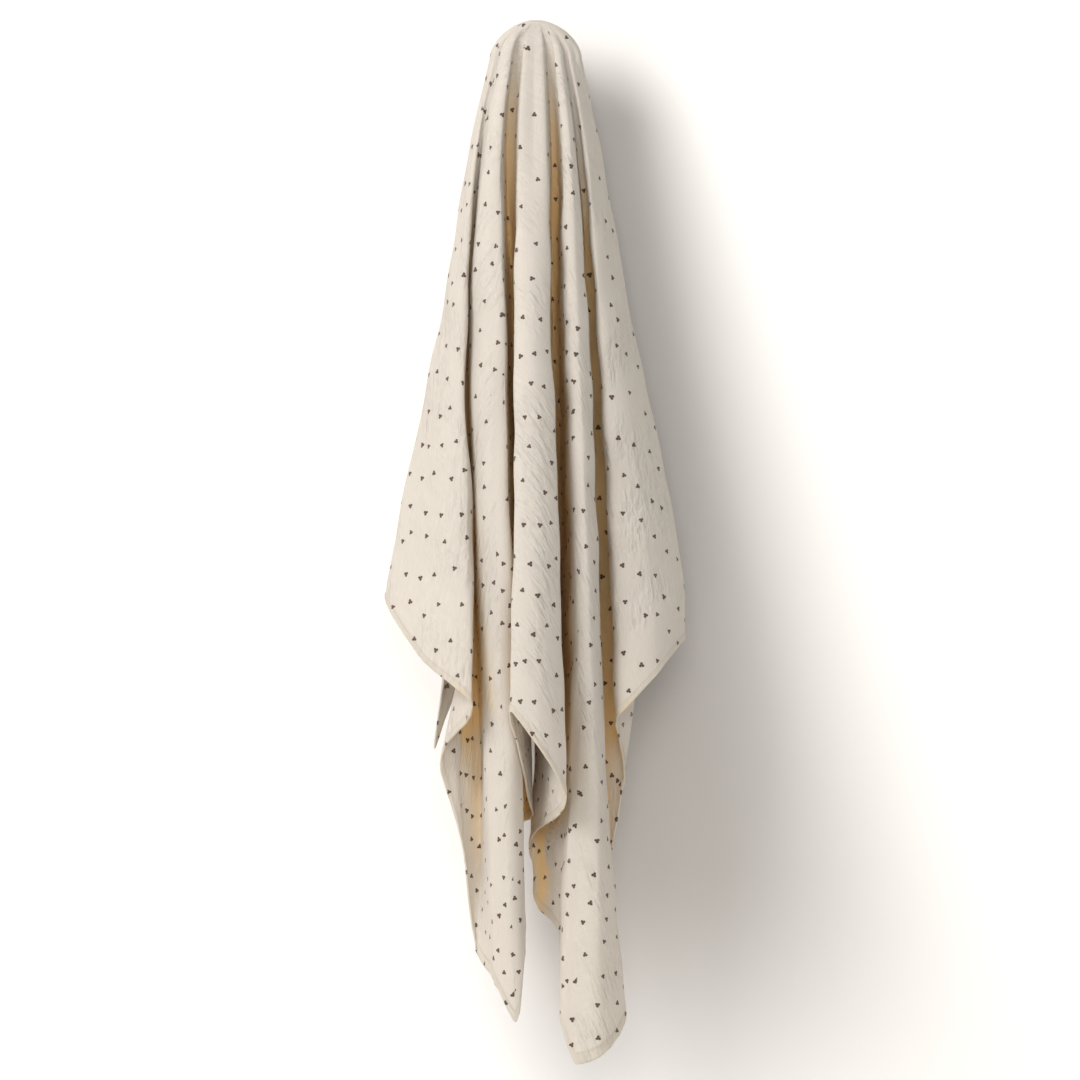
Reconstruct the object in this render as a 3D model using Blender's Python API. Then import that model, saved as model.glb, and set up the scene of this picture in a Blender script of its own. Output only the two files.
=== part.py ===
"""Swaddle blanket on a round wooden wall peg.

Frame: metres, +Z up. The wall is the plane Y = 0 and the object lies at Y < 0, in front of it. The origin is
the middle of the peg's flat foot, where it is screwed to the wall, so the peg's axis runs along -Y.

The blanket is one square of muslin. Its middle hangs over the peg's head and everything else falls in folds.
Each fold is a line that runs down the cloth from the peg to the hem, and the tables below give where that line
is, sideways and out from the wall, at a few levels below the peg. The surface is a smooth curve through the
lines at every level. The back half lies over the peg's stem and hangs in pleats on both sides of it, because
the stem stops it from closing round the back.
"""

from collections import namedtuple

import bmesh
import bpy
import numpy as np

MM = 0.001

# Peg, turned from one piece of wood
HEAD_RADIUS = 0.0341
HEAD_FACE = 0.075  # from the wall to the front of the head
HEAD_DEPTH = 0.025
HEAD_FRONT_ROUND = 0.009
HEAD_BACK_ROUND = 0.005
STEM_RADIUS = 0.011
FOOT_RADIUS = 0.021
FOOT_DEPTH = 0.006
FOOT_ROUND = 0.0015
TURNED_STEPS = 40

# Blanket
THICKNESS = 0.0015
DOME_RADIUS = 0.036  # middle of the cloth over the head
DOME_ROUND = 0.006  # how the cloth turns over the head's front edge
CLOTH_FACE = 0.078  # middle of the cloth in front of the head, in a valley
HANG_POINT = 0.060  # from the wall to the top of the dome, where the front folds meet
STEM_COVER = 0.0132  # middle of the cloth over the stem
NARROWEST = 0.80  # width at the peg's axis, as a share of the width at level a

# Drops below the peg's axis at which the tables give the folds, in millimetres
LEVEL = {"top": 0, "a": 41, "b": 217, "c": 487, "d": 667, "e": 847}

# Resolution of the cloth
DOME_ROWS = 6
DROP_ROWS = 14
COLUMN_SHARES = (0, 0.13, 0.87)  # across the gap between two fold lines, close on both sides of a fold

# Folds of the front half, left to right: x sideways and y out from the wall at levels a, b and c, and the
# drop at which the hem ends the line. Millimetres.
Fold = namedtuple("Fold", "name xa ya xb yb xc yc hem")
FRONT_FOLDS = [
    Fold("left side", -51.5, 64, -83, 72, -136, 102, 487),
    Fold("left panel", -48.8, 73, -74.5, 94, -99, 138, 541),
    Fold("left panel lip", -46.8, 78, -63.5, 106, -58.5, 160, 583),
    Fold("left wing", -45, 77, -71, 77, -59, 108, 640),
    Fold("left wing root", -43.6, 77, -66.5, 71, -62.5, 88, 721),
    Fold("first valley", -42.2, 78, -60, 78, -55, 88, 800),
    Fold("left tail face", -38.5, 86, -56, 102, -50, 144, 833),
    Fold("left tail tip", -34, 92, -42, 118, -35, 163, 866),
    Fold("left tail fold", -28.8, 93, -29.5, 120, -22.5, 161, 802),
    Fold("second valley", -25, 76, -21, 72, -3, 36, 693),
    Fold("centre left wall", -17, 78, -18, 94, -8, 122, 681),
    Fold("centre left fold", -13.5, 93, -17.5, 132, -20.5, 188, 587),
    Fold("centre panel", -2.5, 92, -2.5, 140, 1.5, 196, 618),
    Fold("centre right fold", 8, 93, 11.7, 132, 22.5, 182, 663),
    Fold("third valley", 12, 76, 14.5, 72, 11.5, 64, 721),
    Fold("right wing root", 16.5, 76.5, 20, 78, 21, 76, 750),
    Fold("right wing", 19.5, 81, 23, 100, 28, 120, 791),
    Fold("right tail face", 21.7, 91, 26, 116, 33, 154, 866),
    Fold("right tail tip", 24.7, 93, 30.7, 122, 38, 164, 904),
    Fold("right tail ridge", 27.3, 93, 36.7, 123, 47, 168, 897),
    Fold("right tail fold", 30.3, 88, 45, 112, 56.7, 150, 863),
    Fold("pleat root", 32.3, 79, 46, 66, 52, 80, 764),
    Fold("right pleat", 34.3, 78, 68, 75, 98, 95, 654),
    Fold("fourth valley", 36.3, 79, 54, 90, 68, 118, 599),
    Fold("right panel lip", 38.7, 84, 57, 106, 74, 140, 588),
    Fold("right panel", 44, 76, 68.7, 98, 103, 138, 555),
    Fold("right side", 49.5, 64, 82.7, 70, 133, 100, 523),
]

# Where the long folds run on below level c: the same measures at levels d and e.
Tail = namedtuple("Tail", "xd yd xe ye")
TAILS = {
    "left wing": Tail(-93, 112, -135, 120),
    "left wing root": Tail(-67, 102, -57, 110),
    "first valley": Tail(-50, 86, -56, 108),
    "left tail face": Tail(-43, 146, -35, 149),
    "left tail tip": Tail(-27, 164, -19, 160),
    "left tail fold": Tail(-12.6, 156, -9.5, 150),
    "second valley": Tail(-20, 58, -32, 72),
    "centre left wall": Tail(-4, 118, -4, 125),
    "centre left fold": Tail(-24.5, 205, -26, 220),
    "centre panel": Tail(1.5, 216, 1.5, 230),
    "centre right fold": Tail(27, 194, 30, 205),
    "third valley": Tail(-2, 88, -7, 104),
    "right wing root": Tail(9, 94, -18, 102),
    "right wing": Tail(24.5, 128, 20, 130),
    "right tail face": Tail(31, 158, 23, 155),
    "right tail tip": Tail(39, 164, 37, 162),
    "right tail ridge": Tail(55, 167, 57, 166),
    "right tail fold": Tail(64, 145, 79, 140),
    "pleat root": Tail(55, 82, 65, 95),
    "right pleat": Tail(78, 94, 80, 96),
    "right side": Tail(132, 111, 130, 120),
}

# Pleats of the back half, from the side in to the back edge: how far from the wall the line crosses over the
# peg, at what height, and the places at levels a and b, the same on both sides, with x measured to the side. Then
# the place at level c and the hem, left and right.
Pleat = namedtuple("Pleat", "name crossing height xa ya xb yb left_x left_y left_hem right_x right_y right_hem")
BACK_PLEATS = [
    Pleat("behind the side", 46, 35, 47.5, 51, 77, 57, 80, 70, 545, 122, 76, 525),
    Pleat("first inner", 40, 13.2, 15, 45, 9, 51, 72, 59, 622, 27, 61, 600),
    Pleat("first outer", 34.5, 13.2, 38, 39, 74, 44, 70, 51, 572, 122, 54, 530),
    Pleat("second inner", 28.5, 13.2, 14.5, 33, 10, 36.5, 24, 44, 592, 14, 44, 598),
    Pleat("second outer", 23, 13.2, 37, 27, 78, 31, 122, 36, 492, 124, 36, 518),
    Pleat("third inner", 17, 13.2, 14.5, 20, 7, 23, 7, 26, 586, 7, 26, 590),
    Pleat("back edge", 11, 13.2, 32, 12, 74, 13, 118, 14, 498, 124, 14, 526),
]
ROUNDNESS = 1.3  # how widely the cloth turns at a line, for its distance to the nearest other line
FOLD_RADIUS = 0.0022  # tightest turn of the cloth, where it doubles back at a line
RUN_ON = 0.6  # how much of its slant a line keeps below its last level


def smooth_through(where, known, values):
    """Cubic curve through values at the known places, read at where. Each column is one fold line."""
    known = np.asarray(known, float)
    values = np.asarray(values, float)
    step = np.diff(known)[:, None]
    slope = np.diff(values, axis=0) / step
    middle = (slope[:-1] * step[1:] + slope[1:] * step[:-1]) / (step[1:] + step[:-1])
    tangent = np.vstack([slope[:1], middle, slope[-1:]])
    lines = np.arange(values.shape[1])
    span = np.clip(np.searchsorted(known, where, side="right") - 1, 0, len(known) - 2)
    length = np.diff(known)[span]
    s = (where - known[span]) / length
    before = values[span, lines] * (1 + 2 * s) * (1 - s) ** 2 + tangent[span, lines] * length * s * (1 - s) ** 2
    after = values[span + 1, lines] * s**2 * (3 - 2 * s) + tangent[span + 1, lines] * length * s**2 * (s - 1)
    return before + after


def levels_of(name, x, y):
    """Sideways and outward places of a fold line at all levels below the top, from those at a, b and c."""
    if name in TAILS:
        tail = TAILS[name]
        return x + [tail.xd, tail.xe], y + [tail.yd, tail.ye]
    below = [LEVEL["d"] - LEVEL["c"], LEVEL["e"] - LEVEL["c"]]
    for line in (x, y):
        slant = RUN_ON * (line[2] - line[1]) / (LEVEL["c"] - LEVEL["b"])
        line += [line[2] + slant * drop for drop in below]
    return x, y


def fold_lines():
    """All fold lines in order round the cloth, from the left end of the back edge to its right end."""
    rows = []
    for p in reversed(BACK_PLEATS):
        x, y = levels_of("back", [-p.xa, -p.xb, -p.left_x], [p.ya, p.yb, p.left_y])
        rows.append((x, y, p.left_hem, p.crossing, p.height))
    for f in FRONT_FOLDS:
        x, y = levels_of(f.name, [f.xa, f.xb, f.xc], [f.ya, f.yb, f.yc])
        rows.append((x, y, f.hem, HANG_POINT / MM, DOME_RADIUS / MM))
    for p in BACK_PLEATS:
        x, y = levels_of("back", [p.xa, p.xb, p.right_x], [p.ya, p.yb, p.right_y])
        rows.append((x, y, p.right_hem, p.crossing, p.height))
    x, y, hem, crossing, height = (np.array(column, float) * MM for column in zip(*rows))
    return x.T, y.T, hem, crossing, height


def over_the_edge(radius):
    """Distance from the wall of cloth that lies on the head, at this distance from the head's axis."""
    turned = np.clip((radius - DOME_RADIUS + DOME_ROUND) / DOME_ROUND, 0, 1)
    return CLOTH_FACE - DOME_ROUND + DOME_ROUND * np.sqrt(1 - turned**2)


def points_on_lines():
    """Points [row, line] from the crossing over the peg down to the hem.

    The front lines follow the round head past its rim, and then spread smoothly to their own places on the
    way down to the peg's axis. The others turn a quarter of an ellipse over the stem. Below the axis a line
    is the smooth curve through the table's levels, cut at its hem.
    """
    x, y, hem, crossing, height = fold_lines()
    front = crossing > HANG_POINT - MM
    outward = np.abs(x[0]) / np.abs(x[0]).max() * DOME_RADIUS
    width = np.sign(x[0]) * np.maximum(NARROWEST * np.abs(x[0]), np.where(front, 0, STEM_COVER))
    on_head = np.where(front, over_the_edge(outward), crossing)
    reach = np.maximum((on_head + y[0]) / 2, np.where(front, on_head, 0))

    turn = np.linspace(0, np.pi / 2, DOME_ROWS + 1)[:, None]
    share = turn / (np.pi / 2)
    late = np.clip((share - 0.4) / 0.6, 0, 1)
    spread = late**2 * (3 - 2 * late)
    round_head = np.sign(x[0]) * outward
    arch_x = np.where(front, round_head * np.sin(turn) + (width - round_head) * spread, width * np.sin(turn))
    arch_z = height * np.cos(turn)
    on_dome = over_the_edge(np.hypot(outward * np.sin(turn), arch_z))
    arch_y = np.where(front, on_dome + (reach - on_dome[-1]) * spread, crossing + (reach - crossing) * share)
    arch_y[0] = crossing

    down = np.linspace(0, 1, DROP_ROWS + 1)[1:, None] * hem
    known = np.array(list(LEVEL.values())) * MM
    drop_x = np.array([smooth_through(row, known, np.vstack([width, x])) for row in down])
    drop_y = np.array([smooth_through(row, known, np.vstack([reach, y])) for row in down])
    return np.stack(
        [np.vstack([arch_x, drop_x]), -np.vstack([arch_y, drop_y]), np.vstack([arch_z, -down])], axis=-1
    )


def round_the_cloth(points, shares):
    """Smooth curve through each row of points, read at these shares of each gap between two lines.

    Seen from above, the way through a point is between the ways to its two neighbours. Where the cloth doubles
    back there, it turns with the fold radius, and else it is as round as the nearer neighbour allows. The
    height runs smoothly from line to line and turns nowhere between them: its slope at a point is the harmonic
    mean of the slopes on both sides, or none where they differ in sign.
    """
    ahead = np.diff(points, axis=1)
    length = np.maximum(np.linalg.norm(ahead[..., :2], axis=2, keepdims=True), 1e-9)
    way = ahead[..., :2] / length
    rise = ahead[..., 2:] / length
    middle = (way[:, :-1] + way[:, 1:]) / 2
    straight = np.linalg.norm(middle, axis=2, keepdims=True)
    direction = np.concatenate([way[:, :1], middle / (straight + 1e-9), way[:, -1:]], axis=1)
    pull = straight * np.minimum(length[:, 1:], length[:, :-1]) * ROUNDNESS
    pull = np.concatenate([length[:, :1], pull, length[:, -1:]], axis=1)
    both = rise[:, :-1] * rise[:, 1:]
    climb = 2 * np.maximum(both, 0) / np.where(both > 0, rise[:, :-1] + rise[:, 1:], 1)
    climb = np.concatenate([rise[:, :1], climb, rise[:, -1:]], axis=1)
    doubled = np.pad(1 - straight, ((0, 0), (1, 1), (0, 0)))
    ends = []
    for end in (slice(None, -1), slice(1, None)):
        reach = np.maximum(pull[:, end], doubled[:, end] * np.sqrt(6 * FOLD_RADIUS * length))
        ends.append(np.concatenate([direction[:, end] * np.minimum(reach, length), climb[:, end] * length], axis=2))
    leave, arrive = (end[:, :, None] for end in ends)
    s = np.asarray(shares)[None, None, :, None]
    start, end = points[:, :-1, None], points[:, 1:, None]
    curve = (
        start * (1 + 2 * s) * (1 - s) ** 2
        + leave * s * (1 - s) ** 2
        + end * s**2 * (3 - 2 * s)
        + arrive * s**2 * (s - 1)
    )
    rows = curve.reshape(len(points), -1, 3)
    return np.concatenate([rows, points[:, -1:]], axis=1)


def cloth_faces(rows, columns, pleat_columns):
    """Faces of the grid, and the vertex number of each grid point. The front lines all start at the hang
    point, and the two halves of the back share the line along the top of the stem."""
    column = np.arange(columns)
    crossing = np.maximum(np.maximum(pleat_columns - column, column - (columns - 1 - pleat_columns)), 0)
    number = np.vstack([crossing, pleat_columns + 1 + np.arange((rows - 1) * columns).reshape(rows - 1, columns)])
    corners = np.stack([number[:-1, :-1], number[1:, :-1], number[1:, 1:], number[:-1, 1:]], axis=-1)
    faces = []
    for face in corners.reshape(-1, 4).tolist():
        faces.append(tuple(face[:3]) if face[3] == face[0] else tuple(face))
    return faces, number


def material(name, colour, roughness):
    made = bpy.data.materials.new(name)
    made.use_nodes = True
    shader = made.node_tree.nodes["Principled BSDF"]
    shader.inputs["Base Color"].default_value = (*colour, 1)
    shader.inputs["Roughness"].default_value = roughness
    return made


def add_object(name, mesh, finish):
    made = bpy.data.objects.new(name, mesh)
    bpy.context.scene.collection.objects.link(made)
    mesh.materials.append(finish)
    return made


def build_blanket():
    grid = round_the_cloth(points_on_lines(), COLUMN_SHARES)
    rows, columns, _ = grid.shape
    faces, number = cloth_faces(rows, columns, len(BACK_PLEATS) * len(COLUMN_SHARES))
    points = np.zeros((number.max() + 1, 3))
    points[number] = grid
    mesh = bpy.data.meshes.new("blanket")
    mesh.from_pydata(points.tolist(), [], faces)
    mesh.shade_smooth()
    blanket = add_object("blanket", mesh, material("cream muslin", (0.83, 0.79, 0.70), 0.9))
    thick = blanket.modifiers.new("thickness", "SOLIDIFY")
    thick.thickness = THICKNESS
    thick.offset = 0
    return blanket


def quarter_round(centre_radius, centre_y, radius, start, end, steps=4):
    """Points of a turned edge: (distance from the axis, place along it)."""
    turn = np.radians(np.linspace(start, end, steps + 1))
    return [(centre_radius + radius * np.cos(a), centre_y + radius * np.sin(a)) for a in turn]


def build_peg():
    """One profile from the middle of the foot to the middle of the head's face, turned about the Y axis."""
    head_back = -(HEAD_FACE - HEAD_DEPTH)
    profile = [(0.0, 0.0)]
    profile += [(FOOT_RADIUS, 0.0)]
    profile += quarter_round(FOOT_RADIUS - FOOT_ROUND, -FOOT_DEPTH + FOOT_ROUND, FOOT_ROUND, 0, -90, 2)
    profile += [(STEM_RADIUS, -FOOT_DEPTH), (STEM_RADIUS, head_back)]
    profile += quarter_round(HEAD_RADIUS - HEAD_BACK_ROUND, head_back - HEAD_BACK_ROUND, HEAD_BACK_ROUND, 90, 0)
    profile += quarter_round(HEAD_RADIUS - HEAD_FRONT_ROUND, HEAD_FRONT_ROUND - HEAD_FACE, HEAD_FRONT_ROUND, 0, -90)
    profile += [(0.0, -HEAD_FACE)]

    shape = bmesh.new()
    ring = [shape.verts.new((radius, y, 0)) for radius, y in profile]
    edges = [shape.edges.new(pair) for pair in zip(ring, ring[1:])]
    bmesh.ops.spin(
        shape, geom=ring + edges, cent=(0, 0, 0), axis=(0, 1, 0), angle=2 * np.pi, steps=TURNED_STEPS
    )
    bmesh.ops.remove_doubles(shape, verts=shape.verts, dist=0.00005)
    bmesh.ops.recalc_face_normals(shape, faces=shape.faces)
    mesh = bpy.data.meshes.new("peg")
    shape.to_mesh(mesh)
    shape.free()
    mesh.shade_smooth()
    mesh.set_sharp_from_angle(angle=np.radians(40))
    return add_object("peg", mesh, material("oiled beech", (0.55, 0.36, 0.20), 0.5))


def main():
    for old in list(bpy.data.objects):
        bpy.data.objects.remove(old)
    build_peg()
    build_blanket()


main()
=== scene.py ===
"""Swaddle blanket on a round wooden wall peg: the finished look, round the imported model.

Frame, as in the CAD: metres, +Z up, the wall is the plane Y = 0 and everything hangs at Y < 0.
The origin is the middle of the peg's flat foot.

The blanket is one square of muslin that hangs from its middle. Each fold is a line that runs down
the cloth from the peg to the hem, with the same places as in the CAD. Between the lines the cloth
is a smooth curve, and on it come shallow billows, the puckers along the hem's seam and the cloth's
own thickness, which is more in the hem. Every point knows its place on the flat square, so that
the weave, the print and the hem follow the cloth.
"""

from collections import namedtuple

import bpy
import numpy as np
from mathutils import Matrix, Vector


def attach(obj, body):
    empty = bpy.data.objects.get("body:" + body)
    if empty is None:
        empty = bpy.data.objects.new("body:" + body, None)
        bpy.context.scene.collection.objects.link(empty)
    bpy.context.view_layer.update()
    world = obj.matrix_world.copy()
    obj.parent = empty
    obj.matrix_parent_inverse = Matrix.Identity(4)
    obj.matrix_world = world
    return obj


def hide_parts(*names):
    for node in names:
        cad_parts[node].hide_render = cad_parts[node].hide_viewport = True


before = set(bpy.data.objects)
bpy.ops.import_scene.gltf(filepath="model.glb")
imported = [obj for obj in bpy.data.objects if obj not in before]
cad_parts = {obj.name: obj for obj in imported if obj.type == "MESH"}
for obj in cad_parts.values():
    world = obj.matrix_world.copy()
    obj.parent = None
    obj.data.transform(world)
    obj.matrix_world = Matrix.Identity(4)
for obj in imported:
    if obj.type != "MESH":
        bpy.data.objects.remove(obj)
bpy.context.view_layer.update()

MM = 0.001

# ------------------------------------------------------------ the blanket's sizes, as in the CAD
DOME_RADIUS = 0.036  # cloth on the peg's head, from the peg's axis
DOME_ROUND = 0.006  # rounding of the cloth at the head's rim
CLOTH_FACE = 0.078  # cloth on the front of the head, from the wall
HANG_POINT = 0.060  # where the front lines cross the top of the head, from the wall
STEM_COVER = 0.0132  # cloth on the stem, from the peg's axis
SPREAD_FROM = 0.4  # share of their turn over the head after which the front lines spread
NARROWEST = 0.80  # width at the peg's axis, as a share of the width at level a
ROUNDNESS = 1.3  # pull of a curve at a fold line, as a share of the nearer gap
FOLD_RADIUS = 0.0022  # where the cloth doubles back
RUN_ON = 0.6  # share of its slant that a line without a tail keeps below level c
# The levels' drops below the peg's axis, in mm
LEVEL = {"top": 0, "a": 41, "b": 217, "c": 487, "d": 667, "e": 847}

# The flat square: how far each edge is from the point that hangs on the peg
TO_FRONT, TO_BACK, TO_LEFT, TO_RIGHT = 0.640, 0.560, 0.585, 0.615
HEM_WIDTH = 0.0075

# Fold lines in front: place to the right x and out from the wall y at levels a, b and c, and the
# hem's drop below the peg's axis, all in mm
Fold = namedtuple("Fold", "name xa ya xb yb xc yc hem")
FRONT_FOLDS = [
    Fold("left side", -51.5, 64, -83, 72, -136, 102, 487),
    Fold("left panel", -48.8, 73, -74.5, 94, -99, 138, 541),
    Fold("left panel lip", -46.8, 78, -63.5, 106, -58.5, 160, 583),
    Fold("left wing", -45, 77, -71, 77, -59, 108, 640),
    Fold("left wing root", -43.6, 77, -66.5, 71, -62.5, 88, 721),
    Fold("first valley", -42.2, 78, -60, 78, -55, 88, 800),
    Fold("left tail face", -38.5, 86, -56, 102, -50, 144, 833),
    Fold("left tail tip", -34, 92, -42, 118, -35, 163, 866),
    Fold("left tail fold", -28.8, 93, -29.5, 120, -22.5, 161, 802),
    Fold("second valley", -25, 76, -21, 72, -3, 36, 693),
    Fold("centre left wall", -17, 78, -18, 94, -8, 122, 681),
    Fold("centre left fold", -13.5, 93, -17.5, 132, -20.5, 188, 587),
    Fold("centre panel", -2.5, 92, -2.5, 140, 1.5, 196, 618),
    Fold("centre right fold", 8, 93, 11.7, 132, 22.5, 182, 663),
    Fold("third valley", 12, 76, 14.5, 72, 11.5, 64, 721),
    Fold("right wing root", 16.5, 76.5, 20, 78, 21, 76, 750),
    Fold("right wing", 19.5, 81, 23, 100, 28, 120, 791),
    Fold("right tail face", 21.7, 91, 26, 116, 33, 154, 866),
    Fold("right tail tip", 24.7, 93, 30.7, 122, 38, 164, 904),
    Fold("right tail ridge", 27.3, 93, 36.7, 123, 47, 168, 897),
    Fold("right tail fold", 30.3, 88, 45, 112, 56.7, 150, 863),
    Fold("pleat root", 32.3, 79, 46, 66, 52, 80, 764),
    Fold("right pleat", 34.3, 78, 68, 75, 98, 95, 654),
    Fold("fourth valley", 36.3, 79, 54, 90, 68, 118, 599),
    Fold("right panel lip", 38.7, 84, 57, 106, 74, 140, 588),
    Fold("right panel", 44, 76, 68.7, 98, 103, 138, 555),
    Fold("right side", 49.5, 64, 82.7, 70, 133, 100, 523),
]
# The same lines' places at levels d and e, where they don't simply run on
Tail = namedtuple("Tail", "xd yd xe ye")
TAILS = {
    "left wing": Tail(-93, 112, -135, 120),
    "left wing root": Tail(-67, 102, -57, 110),
    "first valley": Tail(-50, 86, -56, 108),
    "left tail face": Tail(-43, 146, -35, 149),
    "left tail tip": Tail(-27, 164, -19, 160),
    "left tail fold": Tail(-12.6, 156, -9.5, 150),
    "second valley": Tail(-20, 58, -32, 72),
    "centre left wall": Tail(-4, 118, -4, 125),
    "centre left fold": Tail(-24.5, 205, -26, 220),
    "centre panel": Tail(1.5, 216, 1.5, 230),
    "centre right fold": Tail(27, 194, 30, 205),
    "third valley": Tail(-2, 88, -7, 104),
    "right wing root": Tail(9, 94, -18, 102),
    "right wing": Tail(24.5, 128, 20, 130),
    "right tail face": Tail(31, 158, 23, 155),
    "right tail tip": Tail(39, 164, 37, 162),
    "right tail ridge": Tail(55, 167, 57, 166),
    "right tail fold": Tail(64, 145, 79, 140),
    "pleat root": Tail(55, 82, 65, 95),
    "right pleat": Tail(78, 94, 80, 96),
    "right side": Tail(132, 111, 130, 120),
}
# Fold lines behind, from the side to the back edge: where they cross the peg, their places at
# levels a and b, and the place at level c and the hem's drop on the left and on the right
Pleat = namedtuple(
    "Pleat",
    "name crossing height xa ya xb yb left_x left_y left_hem right_x right_y right_hem",
)
BACK_PLEATS = [
    Pleat("behind the side", 46, 35, 47.5, 51, 77, 57, 80, 70, 545, 122, 76, 525),
    Pleat("first inner", 40, 13.2, 15, 45, 9, 51, 72, 59, 622, 27, 61, 600),
    Pleat("first outer", 34.5, 13.2, 38, 39, 74, 44, 70, 51, 572, 122, 54, 530),
    Pleat("second inner", 28.5, 13.2, 14.5, 33, 10, 36.5, 24, 44, 592, 14, 44, 598),
    Pleat("second outer", 23, 13.2, 37, 27, 78, 31, 122, 36, 492, 124, 36, 518),
    Pleat("third inner", 17, 13.2, 14.5, 20, 7, 23, 7, 26, 586, 7, 26, 590),
    Pleat("back edge", 11, 13.2, 32, 12, 74, 13, 118, 14, 498, 124, 14, 526),
]

# ---------------------------------------------------------------- how finely the cloth is made
ARCH_ROWS = 12  # from the crossing over the peg round to its axis
DROP_ROWS = 96  # from there down to the hem
HEM_ROWS = np.array([17, 13, 10, 8, 6.2, 4.5, 2.8, 1.2, 0]) * MM  # distances above the hem
COLUMN_WIDTH = 0.0105
FEWEST_COLUMNS, MOST_COLUMNS = 4, 16  # between two fold lines

# ---------------------------------------------------------------- thickness, unevenness and painted fold shade
FIELD_THICK, HEM_THICK, EDGE_THICK = 0.0008, 0.0018, 0.0011
HEM_STEP = 0.001  # half the width of the step up to the hem
EDGE_ROUND = 0.0012  # width of the rounding at the very edge

Waves = namedtuple("Waves", "height shortest longest count")
WAVE_SEED = 7
BILLOWS = Waves(0.0009, 0.05, 0.12, 9)
PUCKERS = Waves(0.0005, 0.012, 0.022, 7)
PUCKER_REACH = 0.011  # how far in from the edge they fade
HELD, FREE = 0.06, 0.20  # distances from the hang point: flat up to the first, free from the second

# The painted shade deep in the folds, a warmer colour: how far to each side the cloth that stands
# out is looked for, how far behind it a point begins to count as deep and is fully deep, and the
# number of heights compared
FOLD_SHADE_REACH = 0.020
BARELY_DEEP, FULLY_DEEP = 0.004, 0.034
FOLD_SHADE_HEIGHTS = 160


def smooth_step(low, high, value):
    """0 up to low, 1 past high and 3 t^2 - 2 t^3 between."""
    t = np.clip((value - low) / (high - low), 0, 1)
    return t * t * (3 - 2 * t)


def cubic(s, start, start_pull, end, end_pull):
    """Cubic curve from start at s = 0 to end at s = 1, with the given slopes there."""
    before = start * (1 + 2 * s) * (1 - s) ** 2 + start_pull * s * (1 - s) ** 2
    after = end * s**2 * (3 - 2 * s) + end_pull * s**2 * (s - 1)
    return before + after


def smooth_through(where, known, values):
    """Cubic curve through values at the known places, read at where. Each column is one fold line.

    The slope at a known place is the mean of the slopes on its two sides, each weighted by the
    other's length.
    """
    step = np.diff(known)[:, None]
    slope = np.diff(values, axis=0) / step
    middle = (slope[:-1] * step[1:] + slope[1:] * step[:-1]) / (step[1:] + step[:-1])
    tangent = np.vstack([slope[:1], middle, slope[-1:]])
    line = np.arange(values.shape[1])
    span = np.clip(np.searchsorted(known, where, side="right") - 1, 0, len(known) - 2)
    length = np.diff(known)[span]
    pulls = tangent[span, line] * length, tangent[span + 1, line] * length
    s = (where - known[span]) / length
    return cubic(s, values[span, line], pulls[0], values[span + 1, line], pulls[1])


def levels_of(name, x, y):
    """Places of a fold line at all levels below the top, from those at a, b and c."""
    if name in TAILS:
        tail = TAILS[name]
        return x + [tail.xd, tail.xe], y + [tail.yd, tail.ye]
    below = [LEVEL["d"] - LEVEL["c"], LEVEL["e"] - LEVEL["c"]]
    for line in (x, y):
        slant = RUN_ON * (line[2] - line[1]) / (LEVEL["c"] - LEVEL["b"])
        line += [line[2] + slant * drop for drop in below]
    return x, y


def fold_lines():
    """All fold lines in order round the cloth, from the left end of the back edge to its right
    end: places x and y by level, the hem's drop, and where the line crosses the peg."""
    rows = []
    for p in reversed(BACK_PLEATS):
        x, y = levels_of("back", [-p.xa, -p.xb, -p.left_x], [p.ya, p.yb, p.left_y])
        rows.append((x, y, p.left_hem, p.crossing, p.height))
    for f in FRONT_FOLDS:
        x, y = levels_of(f.name, [f.xa, f.xb, f.xc], [f.ya, f.yb, f.yc])
        rows.append((x, y, f.hem, HANG_POINT / MM, DOME_RADIUS / MM))
    for p in BACK_PLEATS:
        x, y = levels_of("back", [p.xa, p.xb, p.right_x], [p.ya, p.yb, p.right_y])
        rows.append((x, y, p.right_hem, p.crossing, p.height))
    x, y, hem, crossing, height = (np.array(column, float) * MM for column in zip(*rows))
    return x.T, y.T, hem, crossing, height


def over_the_edge(radius):
    """Distance from the wall of cloth on the peg's head: flat, then a quarter circle down at the
    rim."""
    turned = np.clip((radius - DOME_RADIUS + DOME_ROUND) / DOME_ROUND, 0, 1)
    return CLOTH_FACE - DOME_ROUND + DOME_ROUND * np.sqrt(1 - turned**2)


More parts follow.
